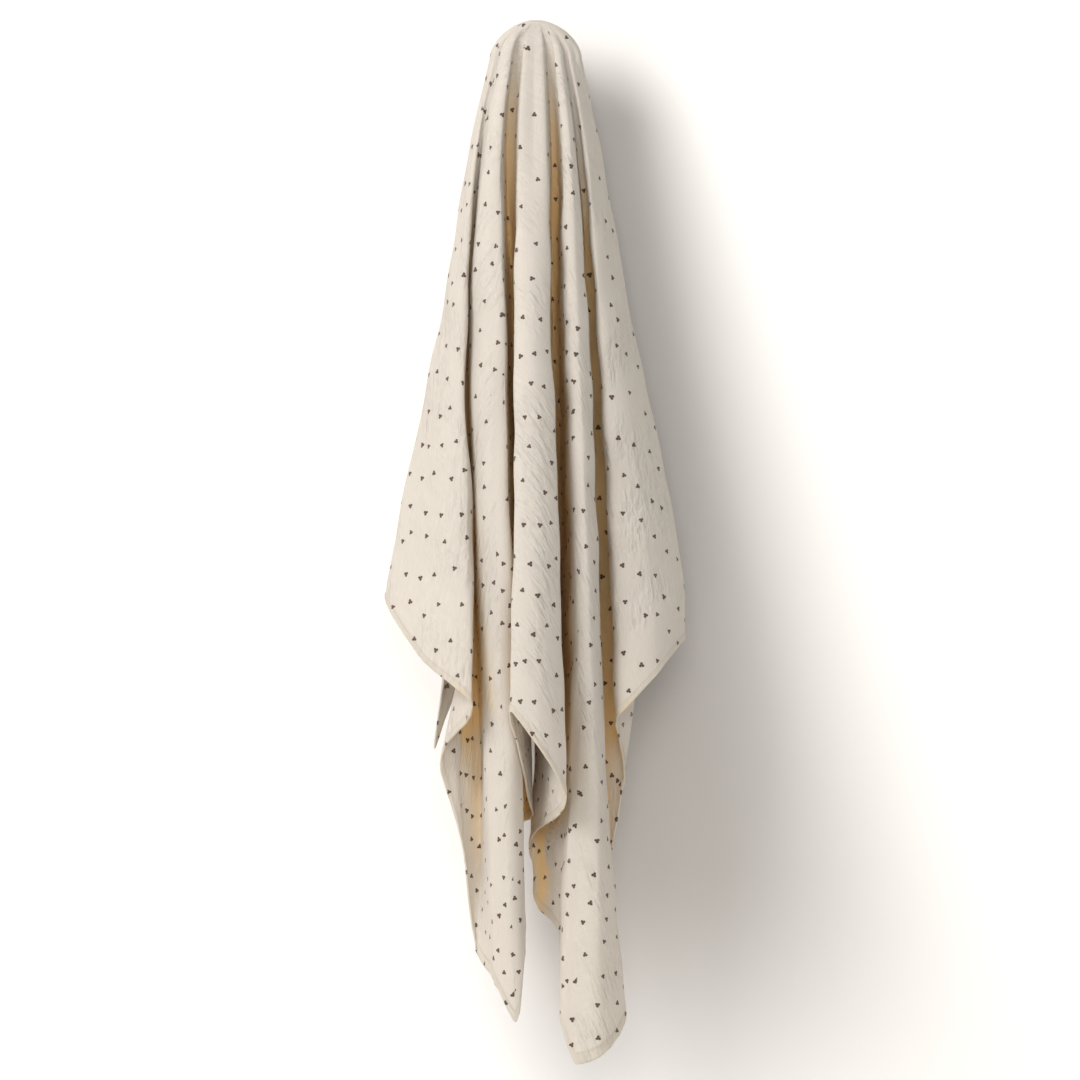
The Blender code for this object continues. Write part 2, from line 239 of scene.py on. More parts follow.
def points_on_lines():
    """Points [row, line] from the crossing over the peg down to the hem.

    The front lines follow the round head past its rim, and then spread smoothly to their own
    places on the way down to the peg's axis. The others turn a quarter of an ellipse. Below the
    axis a line is the smooth curve through the table's levels.
    """
    x, y, hem, crossing, height = fold_lines()
    front = crossing > HANG_POINT - MM
    outward = np.abs(x[0]) / np.abs(x[0]).max() * DOME_RADIUS
    narrowest = np.where(front, 0, STEM_COVER)
    width = np.sign(x[0]) * np.maximum(NARROWEST * np.abs(x[0]), narrowest)
    on_head = np.where(front, over_the_edge(outward), crossing)
    reach = np.maximum((on_head + y[0]) / 2, np.where(front, on_head, 0))

    turn = np.linspace(0, np.pi / 2, ARCH_ROWS + 1)[:, None]
    share = turn / (np.pi / 2)
    spread = smooth_step(SPREAD_FROM, 1, share)
    round_head = np.sign(x[0]) * outward
    spread_x = round_head * np.sin(turn) + (width - round_head) * spread
    arch_x = np.where(front, spread_x, width * np.sin(turn))
    arch_z = height * np.cos(turn)
    on_dome = over_the_edge(np.hypot(outward * np.sin(turn), arch_z))
    spread_y = on_dome + (reach - on_dome[-1]) * spread
    arch_y = np.where(front, spread_y, crossing + (reach - crossing) * share)
    arch_y[0] = crossing

    above_hem = np.linspace(0, 1, DROP_ROWS + 1)[1:-1, None] * (hem - HEM_ROWS[0])
    down = np.vstack([above_hem, hem - HEM_ROWS[:, None]])
    known = np.array(list(LEVEL.values())) * MM
    drop_x = np.array([smooth_through(row, known, np.vstack([width, x])) for row in down])
    drop_y = np.array([smooth_through(row, known, np.vstack([reach, y])) for row in down])
    rows = [np.vstack([arch_x, drop_x]), -np.vstack([arch_y, drop_y]), np.vstack([arch_z, -down])]
    return np.stack(rows, axis=-1)


def column_plan(points):
    """The gap between two fold lines in which each column lies, and its share s of that gap.

    A wide gap has more columns, and s = (1 - cos(pi t)) / 2 for even t brings them together at
    both lines. Both halves of the back have the same columns, because they meet along the top of
    the stem.
    """
    widths = np.linalg.norm(np.diff(points, axis=1), axis=2).max(axis=0)
    counts = np.clip(np.round(widths / COLUMN_WIDTH), FEWEST_COLUMNS, MOST_COLUMNS).astype(int)
    behind = len(BACK_PLEATS)
    counts[-behind:] = counts[behind - 1 :: -1]
    even = np.concatenate([np.arange(count) / count for count in counts])
    gap = np.append(np.repeat(np.arange(len(counts)), counts), len(counts) - 1)
    return gap, np.append((1 - np.cos(np.pi * even)) / 2, 1.0)


def round_the_cloth(points, gap, share):
    """Smooth curve through each row of points, read at the columns' shares of their gaps.

    Seen from above, the way through a point is between the ways to its two neighbours. Where the
    cloth doubles back there, it turns with the fold radius, and else it is as round as the nearer
    neighbour allows. The height runs smoothly from line to line and turns nowhere between them:
    its slope at a point is the harmonic mean of the slopes on both sides, or none where they
    differ in sign.
    """
    ahead = np.diff(points, axis=1)
    length = np.maximum(np.linalg.norm(ahead[..., :2], axis=2, keepdims=True), 1e-9)
    way = ahead[..., :2] / length
    rise = ahead[..., 2:] / length
    middle = (way[:, :-1] + way[:, 1:]) / 2
    straight = np.linalg.norm(middle, axis=2, keepdims=True)
    direction = np.concatenate([way[:, :1], middle / (straight + 1e-9), way[:, -1:]], axis=1)
    pull = straight * np.minimum(length[:, 1:], length[:, :-1]) * ROUNDNESS
    pull = np.concatenate([length[:, :1], pull, length[:, -1:]], axis=1)
    both = rise[:, :-1] * rise[:, 1:]
    climb = 2 * np.maximum(both, 0) / np.where(both > 0, rise[:, :-1] + rise[:, 1:], 1)
    climb = np.concatenate([rise[:, :1], climb, rise[:, -1:]], axis=1)
    doubled = np.pad(1 - straight, ((0, 0), (1, 1), (0, 0)))
    pulls = []
    for end in (slice(None, -1), slice(1, None)):
        reach = np.maximum(pull[:, end], doubled[:, end] * np.sqrt(6 * FOLD_RADIUS * length))
        sideways = direction[:, end] * np.minimum(reach, length)
        pulls.append(np.concatenate([sideways, climb[:, end] * length], axis=2)[:, gap])
    return cubic(share[None, :, None], points[:, gap], pulls[0], points[:, gap + 1], pulls[1])


def grown(steps, axis):
    """Running total of steps along an axis, starting at 0."""
    total = np.cumsum(steps, axis=axis)
    return np.concatenate([np.zeros_like(np.take(total, [0], axis=axis)), total], axis=axis)


def flat_places(grid, first_column):
    """Place (u, v) of every grid point on the flat square, from the point that hangs on the peg,
    u to the right and v to the front.

    first_column gives the column of each fold line. In front the place is polar: the angle grows
    with the width of cloth that a column has passed at mid height, fitted so that the sides and
    both front corners have the square's own angles, and the distance is the share of the column's
    length times the distance to the edge. Behind, u grows down a column, to the left or to the
    right, and v goes back with the width passed from the side to the back edge.
    """
    down = grown(np.linalg.norm(np.diff(grid, axis=0), axis=2), 0)
    down /= down[-1]
    middle = slice(len(grid) * 5 // 10, len(grid) * 8 // 10)
    passed = grown(np.linalg.norm(np.diff(grid, axis=1), axis=2)[middle].mean(axis=0), 0)

    fronts = first_column[len(BACK_PLEATS) : len(BACK_PLEATS) + len(FRONT_FOLDS)]
    left_side, right_side = fronts[0], fronts[-1]
    names = [fold.name for fold in FRONT_FOLDS]
    corners = [fronts[names.index(name)] for name in ("left tail tip", "right tail tip")]
    corner_angles = [-np.arctan2(TO_LEFT, TO_FRONT), np.arctan2(TO_RIGHT, TO_FRONT)]
    fitted = passed[[left_side, *corners, right_side]]
    angle = np.interp(passed, fitted, [-np.pi / 2, *corner_angles, np.pi / 2])
    to_front = TO_FRONT / np.maximum(np.cos(angle), 1e-6)
    to_side = np.where(angle < 0, TO_LEFT, TO_RIGHT) / np.maximum(np.abs(np.sin(angle)), 1e-6)
    away = down * np.minimum(to_front, to_side)

    column = np.arange(grid.shape[1])
    in_front = (column >= left_side) & (column <= right_side)
    left_share = (passed[left_side] - passed) / passed[left_side]
    right_share = (passed - passed[right_side]) / (passed[-1] - passed[right_side])
    behind_u = down * np.where(column < left_side, -TO_LEFT, TO_RIGHT)
    behind_v = -TO_BACK * np.maximum(left_share, right_share)
    u = np.where(in_front, away * np.sin(angle), behind_u)
    v = np.where(in_front, away * np.cos(angle), behind_v)
    return u, v


def flat_stretch(grid, u, v):
    """How far the flat cloth is stretched or gathered where it lies on the grid.

    J holds the real steps for steps in u and v. The root S of J'J turns a flat step into a real
    one without turning it: S = (J'J + r I) / sqrt(trace + 2 r), where r is the root of the
    determinant of J'J. The entries of J'J are kept under 9 and its determinant over 0.01. Returns
    the three different numbers of S.
    """
    real_down, real_across = np.gradient(grid, axis=0), np.gradient(grid, axis=1)
    u_down, u_across = (np.gradient(u, axis=axis)[..., None] for axis in (0, 1))
    v_down, v_across = (np.gradient(v, axis=axis)[..., None] for axis in (0, 1))
    size = u_down * v_across - u_across * v_down
    size = np.where(np.abs(size) < 1e-9, 1e-9, size)
    per_u = (real_down * v_across - real_across * v_down) / size
    per_v = (real_across * u_down - real_down * u_across) / size
    pairs = (per_u, per_u), (per_u, per_v), (per_v, per_v)
    uu, uv, vv = (np.minimum((a * b).sum(axis=2), 9) for a, b in pairs)
    root = np.sqrt(np.maximum(uu * vv - uv**2, 0.01))
    stretch = np.stack([uu + root, uv, vv + root], axis=-1)
    stretch /= np.sqrt(uu + vv + 2 * root)[..., None]
    stretch[0] = stretch[1]
    return stretch


def fold_shade_mask(grid):
    """Mask of the painted shade in the folds: 0 on open cloth and 1 deep in a fold, that is how far
    a point lies behind the cloth that stands out most at its height within reach, on its left and
    on its right, whichever is less, eased up to the full depth. The columns are read at even
    heights, and the result is read back."""
    columns = range(grid.shape[1])
    heights = np.linspace(grid[..., 2].max(), grid[..., 2].min(), FOLD_SHADE_HEIGHTS)

    def at_heights(values):
        read = [np.interp(-heights, -grid[:, c, 2], values[:, c]) for c in columns]
        return np.stack(read, axis=1)

    x, out = at_heights(grid[..., 0]), at_heights(-grid[..., 1])
    out[heights[:, None] < grid[-1, :, 2]] = 0
    away = x[:, None, :] - x[:, :, None]
    on_left = np.where((away > -FOLD_SHADE_REACH) & (away <= 0), out[:, None, :], 0).max(axis=2)
    on_right = np.where((away < FOLD_SHADE_REACH) & (away >= 0), out[:, None, :], 0).max(axis=2)
    deep = smooth_step(BARELY_DEEP, FULLY_DEEP, np.minimum(on_left, on_right) - out)
    return np.stack([np.interp(-grid[:, c, 2], -heights, deep[:, c]) for c in columns], axis=1)


def hem_distance(u, v):
    """How far a place on the flat square is from its nearest edge."""
    return np.minimum.reduce([TO_FRONT - v, TO_BACK + v, TO_LEFT + u, TO_RIGHT - u])


def uneven(u, v, rng, waves):
    """Unevenness of hung cloth: sine waves sin(2 pi (u cos a + v sin a) / wavelength + phase) with
    drawn directions a, phases and wavelengths, over the root of their number."""
    total = np.zeros_like(u)
    for _ in range(waves.count):
        a, phase = rng.uniform(0, 2 * np.pi, 2)
        wavelength = rng.uniform(waves.shortest, waves.longest)
        total += np.sin(2 * np.pi * (u * np.cos(a) + v * np.sin(a)) / wavelength + phase)
    return total / np.sqrt(waves.count)


def cloth_faces(rows, columns, pleat_columns):
    """Faces of the grid, which of them are pointed, and the point number of each grid place. The
    front lines all start at the hang point, and the two halves of the back share the line along
    the top of the stem."""
    column = np.arange(columns)
    from_left, from_right = pleat_columns - column, column - (columns - 1 - pleat_columns)
    crossing = np.maximum(np.maximum(from_left, from_right), 0)
    below = pleat_columns + 1 + np.arange((rows - 1) * columns).reshape(rows - 1, columns)
    number = np.vstack([crossing, below])
    corners = [number[:-1, :-1], number[1:, :-1], number[1:, 1:], number[:-1, 1:]]
    quads = np.stack(corners, axis=-1).reshape(-1, 4)
    pointed = quads[:, 0] == quads[:, 3]
    return quads, pointed, number


def point_normals(points, quads):
    """Unit normals at the points, out of the drape: the mean of the crossed diagonals of the faces
    round each."""
    across = points[quads[:, 2]] - points[quads[:, 0]]
    down = points[quads[:, 3]] - points[quads[:, 1]]
    normal = np.zeros_like(points)
    np.add.at(normal, quads, np.cross(across, down)[:, None])
    return normal / np.maximum(np.linalg.norm(normal, axis=1, keepdims=True), 1e-15)


def shell_mesh(points, half, quads, pointed, number):
    """The cloth's outer face, its inner face and the flat band round its edge. half goes from the
    middle of the cloth to its outer face."""
    count = len(points)
    shell = np.vstack([points + half, points - half])
    rim = np.concatenate([number[:, 0], number[-1, 1:], number[-2:0:-1, -1], number[:1, 0]])
    before, after = rim[:-1], rim[1:]
    band = np.stack([after, before, before + count, after + count], axis=-1)
    squares, tips = quads[~pointed], quads[pointed][:, :3]
    faces = [squares, squares[:, ::-1] + count, band, tips, tips[:, ::-1] + count]
    mesh = bpy.data.meshes.new("blanket_cloth")
    mesh.from_pydata(shell.tolist(), [], sum((part.tolist() for part in faces), []))
    smooth = np.ones(len(mesh.polygons), bool)
    smooth[2 * len(squares) : 2 * len(squares) + len(band)] = False
    mesh.polygons.foreach_set("use_smooth", smooth)
    return mesh


def note_on_mesh(mesh, u, v, deep, stretch):
    """The UV map of the flat cloth, and what the material reads at the points, outer face first.
    The inner face has no painted fold shade."""
    corner = np.empty(len(mesh.loops), int)
    mesh.loops.foreach_get("vertex_index", corner)
    place = np.stack([np.tile(u, 2)[corner], np.tile(v, 2)[corner]], axis=-1)
    mesh.uv_layers.new(name="flat cloth").data.foreach_set("uv", place.ravel())
    notes = (
        ("inside", "FLOAT", "value", np.repeat([0.0, 1.0], len(u))),
        ("painted shade in folds", "FLOAT", "value", np.append(deep, 0 * deep)),
        ("stretch", "FLOAT_VECTOR", "vector", np.tile(stretch.ravel(), 2)),
    )
    for name, kind, field, values in notes:
        mesh.attributes.new(name, kind, "POINT").data.foreach_set(field, values)


def build_blanket():
    lines = points_on_lines()
    gap, share = column_plan(lines)
    grid = round_the_cloth(lines, gap, share)
    first_column = np.append(np.searchsorted(gap, np.arange(gap.max() + 1)), len(gap) - 1)
    grid_u, grid_v = flat_places(grid, first_column)
    quads, pointed, number = cloth_faces(*grid_u.shape, first_column[len(BACK_PLEATS)])

    def at_points(values):
        """What the grid holds, in the order of the mesh's points."""
        held = np.zeros((number.max() + 1, *values.shape[2:]))
        held[number] = values
        return held

    points, u, v = at_points(grid), at_points(grid_u), at_points(grid_v)
    column = np.arange(grid.shape[1])
    left_side, right_side = first_column[len(BACK_PLEATS)], first_column[-len(BACK_PLEATS) - 1]
    # Painted shade: how deep each point lies in a fold, for the warmer colour painted there; only
    # the columns between the two sides in front get it.
    deep = at_points(fold_shade_mask(grid) * ((column > left_side) & (column < right_side)))
    edge = hem_distance(u, v)

    rng = np.random.default_rng(WAVE_SEED)
    free = smooth_step(HELD, FREE, np.hypot(u, v))
    lift = BILLOWS.height * free * uneven(u, v, rng, BILLOWS)
    by_edge = np.exp(-((edge / PUCKER_REACH) ** 2))
    lift += PUCKERS.height * by_edge * uneven(u, v, rng, PUCKERS)
    points += point_normals(points, quads) * lift[:, None]

    hem = smooth_step(HEM_WIDTH + HEM_STEP, HEM_WIDTH - HEM_STEP, edge)
    thick = FIELD_THICK + (HEM_THICK - FIELD_THICK) * hem
    thick -= (HEM_THICK - EDGE_THICK) * smooth_step(EDGE_ROUND, 0, edge)
    half = point_normals(points, quads) * thick[:, None] / 2
    mesh = shell_mesh(points, half, quads, pointed, number)
    note_on_mesh(mesh, u, v, deep, at_points(flat_stretch(grid, grid_u, grid_v)))
    made = bpy.data.objects.new("blanket_cloth", mesh)
    bpy.context.scene.collection.objects.link(made)
    return made


# ---------------------------------------------------------------- nodes

FLOAT, VECTOR = "NodeSocketFloat", "NodeSocketVector"


def add(tree, kind, inputs=None, **settings):
    """A node with its settings, its inputs given by name or number as values or as sockets to
    link."""
    node = tree.nodes.new(kind)
    for key, value in settings.items():
        setattr(node, key, value)
    for key, value in (inputs or {}).items():
        if isinstance(value, bpy.types.NodeSocket):
            tree.links.new(value, node.inputs[key])
        else:
            node.inputs[key].default_value = value
    return node


def maths(tree, operation, *values):
    """Output of a Math node. MULTIPLY_ADD is the first times the second, plus the third."""
    return add(tree, "ShaderNodeMath", dict(enumerate(values)), operation=operation).outputs[0]


def vector_maths(tree, operation, first, second):
    """Output of a Vector Math node. The second is a number for SCALE and else a vector."""
    inputs = {0: first, "Scale" if operation == "SCALE" else 1: second}
    node = add(tree, "ShaderNodeVectorMath", inputs, operation=operation)
    return node.outputs["Value" if operation == "DOT_PRODUCT" else "Vector"]


def split(tree, vector):
    """The X, Y and Z outputs of a vector."""
    return add(tree, "ShaderNodeSeparateXYZ", {0: vector}).outputs


def turned(tree, vector, angle):
    """vector turned by angle about Z."""
    inputs = {"Vector": vector, "Angle": angle}
    return add(tree, "ShaderNodeVectorRotate", inputs, rotation_type="Z_AXIS").outputs[0]


def ramp(tree, value, low, high, to_low=0.0, to_high=1.0):
    """value eased from to_low at low to to_high at high."""
    span = {"From Min": low, "From Max": high, "To Min": to_low, "To Max": to_high}
    inputs = {"Value": value, **span}
    return add(tree, "ShaderNodeMapRange", inputs, interpolation_type="SMOOTHSTEP").outputs[0]


def colour_mix(tree, share, first, second):
    """The first colour at share 0 and the second at share 1. The colour sockets of a Mix node are
    its inputs 6 and 7 and its output 2."""
    inputs = {0: share, 6: first, 7: second}
    return add(tree, "ShaderNodeMix", inputs, data_type="RGBA").outputs[2]


def noise(tree, vector, scale, detail, dimensions="3D", roughness=0.5):
    """Noise node: Fac is one smooth random value about 0.5, and Color is three of them."""
    inputs = {"Vector": vector, "Scale": scale, "Detail": detail, "Roughness": roughness}
    return add(tree, "ShaderNodeTexNoise", inputs, noise_dimensions=dimensions).outputs


def new_group(name, inputs, outputs):
    """A shader node group with its sockets, its input node and its output node."""
    tree = bpy.data.node_groups.new(name, "ShaderNodeTree")
    for side, sockets in (("INPUT", inputs), ("OUTPUT", outputs)):
        for socket, kind in sockets.items():
            tree.interface.new_socket(name=socket, in_out=side, socket_type=kind)
    return tree, tree.nodes.new("NodeGroupInput").outputs, tree.nodes.new("NodeGroupOutput").inputs


def use_group(tree, group, inputs):
    return add(tree, "ShaderNodeGroup", inputs, node_tree=group).outputs


# ---------------------------------------------------------------- muslin

CREAMS = (0.76, 0.705, 0.632, 1), (0.79, 0.738, 0.667, 1)
PAINTED_FOLD_SHADE = (0.97, 0.72, 0.38, 1)  # painted shade deep in the folds: the colour of light that has come through several layers
HEM_CREAM = (0.70, 0.64, 0.54, 1)
THREAD = (0.54, 0.47, 0.37, 1)
SPRIG_INK = (0.10, 0.045, 0.031, 1)
HEM_SHOWS, THREAD_SHOWS = 0.45, 0.3  # shares of their own colours
INK_OUTSIDE, INK_INSIDE = 0.94, 0.78  # how much of the ink shows on the two faces
SHINES_THROUGH = 0.38  # share of the light that passes the cloth

SPRIG_SPACING, SPRIG_SIZE = 0.0258, 0.0025
ROW_SLANT, LOOSENESS = 0.6, 0.42  # of the rows of sprigs
SMALLEST_SPRIG, SIZE_SPREAD = 0.89, 0.22  # shares of the size
TURN_SPREAD = 2.2  # drawn turn of a sprig, a little over a third of a full turn
PETAL_PLACE, PETAL_RADIUS = 0.48, 0.49  # shares of a sprig's size
PETAL_EDGE = -0.0002, 0.0003  # how soft a petal's edge is
KEPT_BY_AREA = 1.3  # share of the sprigs kept, for each share of its area that the cloth keeps

# The weave's noises: how many waves a metre along u and along v, and the values between which a
# slub or a crinkled patch begins and is whole
THREADS_ACROSS, THREADS_ALONG = (60, 900), (900, 60)
ACROSS_SHARE, ALONG_SHARE = 0.55, 0.45
SLUBS, SLUB_VALUES = (38, 400), (0.60, 0.74)
CRINKLES, PATCHES, PATCH_VALUES = (55, 130), (16, 16), (0.35, 0.62)
UNGATHERED = 0.35, 0.85  # share of its area that the cloth keeps: no crinkle and all of it
CRINKLE_HEIGHT, THREAD_HEIGHT, SLUB_HEIGHT, STITCH_DEPTH = 5.2, 0.28, 0.10, 0.35  # mm

BAND_EDGE = -0.0004, 0.0004
STITCH_INSET, STITCH_LENGTH = 0.0012, 0.0026  # from the hem's inner edge, and along it
OFF_SEAM = 0.0007, 0.0002  # distances from the seam: no thread and all of it
STITCH_ENDS = -0.5, 0.2  # of the sine that spaces the stitches

CLOUD_SCALE, CLOUD_DETAIL = 9.0, 2.0
SHADE_VALUES, SHADE_TONES = (0.3, 0.7), (0.955, 1.01)
SLUB_TONE = 0.035
ROUGH_VALUES, ROUGHNESSES = (0.2, 0.8), (0.95, 0.82)


def sprig_group():
    """Print of small scattered sprigs: Mask is 1 in the petals.

    The flat cloth is split into loose cells, Spacing wide, in slanting rows. Stretch turns the way
    from the cell's point into real length, so that a sprig keeps its size where the cloth is
    stretched or gathered. A sprig is three round petals a third of a turn apart: with the angle
    folded into one third, and with r the distance from the cell's point and q that of a petal's
    middle, the distance to the petal's middle is sqrt(r^2 + q^2 - 2 r q cos(angle)). Where the
    cloth is gathered some cells stay empty.
    """
    inputs = {"Vector": VECTOR, "Stretch": VECTOR, "Spacing": FLOAT, "Size": FLOAT}
    tree, given, out = new_group("scattered sprigs", inputs, {"Mask": FLOAT})
    per_metre = maths(tree, "DIVIDE", 1.0, given["Spacing"])
    rows = vector_maths(tree, "SCALE", turned(tree, given["Vector"], ROW_SLANT), per_metre)
    cell_inputs = {"Vector": rows, "Scale": 1.0, "Randomness": LOOSENESS}
    cells = add(tree, "ShaderNodeTexVoronoi", cell_inputs, voronoi_dimensions="2D").outputs
    away = vector_maths(tree, "SUBTRACT", rows, cells["Position"])
    flat = vector_maths(tree, "SCALE", turned(tree, away, -ROW_SLANT), given["Spacing"])
    stretch = split(tree, given["Stretch"])

    def real(first, second):
        row = add(tree, "ShaderNodeCombineXYZ", {"X": first, "Y": second}).outputs[0]
        return vector_maths(tree, "DOT_PRODUCT", row, flat)

    x, y = real(stretch["X"], stretch["Y"]), real(stretch["Y"], stretch["Z"])
    chance = add(tree, "ShaderNodeSeparateColor", {0: cells["Color"]}).outputs
    share = maths(tree, "MULTIPLY_ADD", chance["Green"], SIZE_SPREAD, SMALLEST_SPRIG)
    size = maths(tree, "MULTIPLY", share, given["Size"])
    turn = maths(tree, "MULTIPLY_ADD", chance["Red"], TURN_SPREAD, maths(tree, "ARCTAN2", y, x))
    third = 2 * np.pi / 3
    angle = maths(tree, "SUBTRACT", maths(tree, "FLOORED_MODULO", turn, third), third / 2)
    r_squared = maths(tree, "MULTIPLY_ADD", x, x, maths(tree, "MULTIPLY", y, y))
    q = maths(tree, "MULTIPLY", size, PETAL_PLACE)
    rq = maths(tree, "MULTIPLY", maths(tree, "SQRT", r_squared), q)
    rq_cosine = maths(tree, "MULTIPLY", rq, maths(tree, "COSINE", angle))
    both_squared = maths(tree, "MULTIPLY_ADD", q, q, r_squared)
    to_petal = maths(tree, "SQRT", maths(tree, "MULTIPLY_ADD", rq_cosine, -2.0, both_squared))
    minus = maths(tree, "MULTIPLY", to_petal, -1.0)
    inside_petal = maths(tree, "MULTIPLY_ADD", size, PETAL_RADIUS, minus)
    area = maths(tree, "MULTIPLY", stretch["X"], stretch["Z"])
    draw = maths(tree, "MULTIPLY", chance["Blue"], -1.0)
    kept = ramp(tree, maths(tree, "MULTIPLY_ADD", area, KEPT_BY_AREA, draw), 0.0, 0.02)
    petals = ramp(tree, inside_petal, *PETAL_EDGE)
    tree.links.new(maths(tree, "MULTIPLY", petals, kept), out["Mask"])
    return tree


def weave_group():
    """Muslin: fine uneven threads across (u) and along (v), thicker slubs here and there across,
    and the soft crinkle of two loosely woven layers, where they are not gathered. Height is in
    millimetres; Shade and Slub are masks."""
    outputs = {"Height": FLOAT, "Shade": FLOAT, "Slub": FLOAT}
    tree, given, out = new_group("muslin weave", {"Vector": VECTOR, "Stretch": VECTOR}, outputs)

    def drawn_out(per_metre, detail=1.0):
        place = vector_maths(tree, "MULTIPLY", given["Vector"], (*per_metre, 1))
        return noise(tree, place, 1.0, detail, "2D", roughness=0.6)["Fac"]

    along = maths(tree, "MULTIPLY", drawn_out(THREADS_ALONG), ALONG_SHARE)
    threads = maths(tree, "MULTIPLY_ADD", drawn_out(THREADS_ACROSS), ACROSS_SHARE, along)
    slubs = ramp(tree, drawn_out(SLUBS), *SLUB_VALUES)
    stretch = split(tree, given["Stretch"])
    area = maths(tree, "MULTIPLY", stretch["X"], stretch["Z"])
    patch = ramp(tree, drawn_out(PATCHES), *PATCH_VALUES)
    patches = maths(tree, "MULTIPLY", patch, ramp(tree, area, *UNGATHERED))
    waves = maths(tree, "SUBTRACT", drawn_out(CRINKLES, 2.0), 0.5)
    crinkle = maths(tree, "MULTIPLY", waves, patches)
    slub_height = maths(tree, "MULTIPLY", slubs, SLUB_HEIGHT)
    woven = maths(tree, "MULTIPLY_ADD", threads, THREAD_HEIGHT, slub_height)
    height = maths(tree, "MULTIPLY_ADD", crinkle, CRINKLE_HEIGHT, woven)
    for socket, value in (("Height", height), ("Shade", threads), ("Slub", slubs)):
        tree.links.new(value, out[socket])
    return tree


def hem_group():
    """Turned hem: Band is 1 on the double cloth along the edges, Stitch is the line of stitches
    that holds it.

    The distance to the hem is the least of the distances to the square's four edges.
    """
    sizes = {name: FLOAT for name in ("Left", "Right", "Front", "Back", "Width")}
    outputs = {"Band": FLOAT, "Stitch": FLOAT}
    tree, given, out = new_group("turned hem", {"Vector": VECTOR, **sizes}, outputs)
    place = split(tree, given["Vector"])

    def nearer(along, low, high):
        to_low, to_high = maths(tree, "ADD", along, low), maths(tree, "SUBTRACT", high, along)
        return maths(tree, "MINIMUM", to_low, to_high)

    sides = nearer(place["X"], given["Left"], given["Right"])
    ends = nearer(place["Y"], given["Back"], given["Front"])
    edge = maths(tree, "MINIMUM", sides, ends)
    band = ramp(tree, maths(tree, "SUBTRACT", given["Width"], edge), *BAND_EDGE)
    seam = maths(tree, "SUBTRACT", given["Width"], STITCH_INSET)
    off_seam = maths(tree, "ABSOLUTE", maths(tree, "SUBTRACT", seam, edge))
    # u + v grows evenly along every edge, so it spaces the stitches
    both = maths(tree, "ADD", place["X"], place["Y"])
    row = maths(tree, "SINE", maths(tree, "MULTIPLY", both, 2 * np.pi / STITCH_LENGTH))
    on_seam, in_stitch = ramp(tree, off_seam, *OFF_SEAM), ramp(tree, row, *STITCH_ENDS)
    tree.links.new(band, out["Band"])
    tree.links.new(maths(tree, "MULTIPLY", on_seam, in_stitch), out["Stitch"])
    return tree


def new_material(name):
    material = bpy.data.materials.new(name)
    material.use_nodes = True
    tree = material.node_tree
    tree.nodes.clear()
    return material, tree, tree.nodes.new("ShaderNodeOutputMaterial").inputs["Surface"]


def muslin():
    """Cream cotton with its weave, its hem and its print, and a painted shade of warmer colour deep
    in the folds. It lets some of the light through."""
    material, tree, surface = new_material("printed cream muslin")
    uv = add(tree, "ShaderNodeUVMap", uv_map="flat cloth").outputs[0]
    stretch = add(tree, "ShaderNodeAttribute", attribute_name="stretch").outputs["Vector"]
    inside = add(tree, "ShaderNodeAttribute", attribute_name="inside").outputs["Fac"]
    deep = add(tree, "ShaderNodeAttribute", attribute_name="painted shade in folds").outputs["Fac"]
    on_cloth = {"Vector": uv, "Stretch": stretch}
    weave = use_group(tree, weave_group(), on_cloth)
    edges = {"Left": TO_LEFT, "Right": TO_RIGHT, "Front": TO_FRONT, "Back": TO_BACK}
    hem = use_group(tree, hem_group(), {"Vector": uv, **edges, "Width": HEM_WIDTH})
    sizes = {"Spacing": SPRIG_SPACING, "Size": SPRIG_SIZE}
    sprigs = use_group(tree, sprig_group(), {**on_cloth, **sizes})

    cloud = noise(tree, uv, CLOUD_SCALE, CLOUD_DETAIL, "2D")["Fac"]
    cream = colour_mix(tree, cloud, *CREAMS)
    # Painted shade: deep in the folds of the outer face the cream gives way to a warmer colour.
    fold_shaded = colour_mix(tree, deep, cream, PAINTED_FOLD_SHADE)
    shade = ramp(tree, weave["Shade"], *SHADE_VALUES, *SHADE_TONES)
    tone = maths(tree, "MULTIPLY_ADD", weave["Slub"], SLUB_TONE, shade)
    shaded = vector_maths(tree, "SCALE", fold_shaded, tone)
    doubled = maths(tree, "MULTIPLY", hem["Band"], HEM_SHOWS)
    hemmed = colour_mix(tree, doubled, shaded, HEM_CREAM)
    sewn = maths(tree, "MULTIPLY", hem["Stitch"], THREAD_SHOWS)
    stitched = colour_mix(tree, sewn, hemmed, THREAD)
    cover = ramp(tree, inside, 0.0, 1.0, INK_OUTSIDE, INK_INSIDE)
    ink = maths(tree, "MULTIPLY", sprigs["Mask"], cover)
    printed = colour_mix(tree, ink, stitched, SPRIG_INK)
    height = maths(tree, "MULTIPLY_ADD", hem["Stitch"], -STITCH_DEPTH, weave["Height"])
    relief = {"Height": height, "Strength": 0.7, "Distance": MM}
    bump = add(tree, "ShaderNodeBump", relief).outputs[0]
    looks = {
        "Base Color": printed,
        "Roughness": ramp(tree, weave["Shade"], *ROUGH_VALUES, *ROUGHNESSES),
        "Normal": bump,
        "Specular IOR Level": 0.2,
        "Sheen Weight": 0.12,
        "Sheen Roughness": 0.6,
    }
    cloth = add(tree, "ShaderNodeBsdfPrincipled", looks).outputs[0]
    through = {"Color": printed, "Normal": bump}
    lit_through = add(tree, "ShaderNodeBsdfTranslucent", through).outputs[0]
    both = add(tree, "ShaderNodeMixShader", {0: SHINES_THROUGH, 1: cloth, 2: lit_through})
    tree.links.new(both.outputs[0], surface)
    return material


# ---------------------------------------------------------------- beech

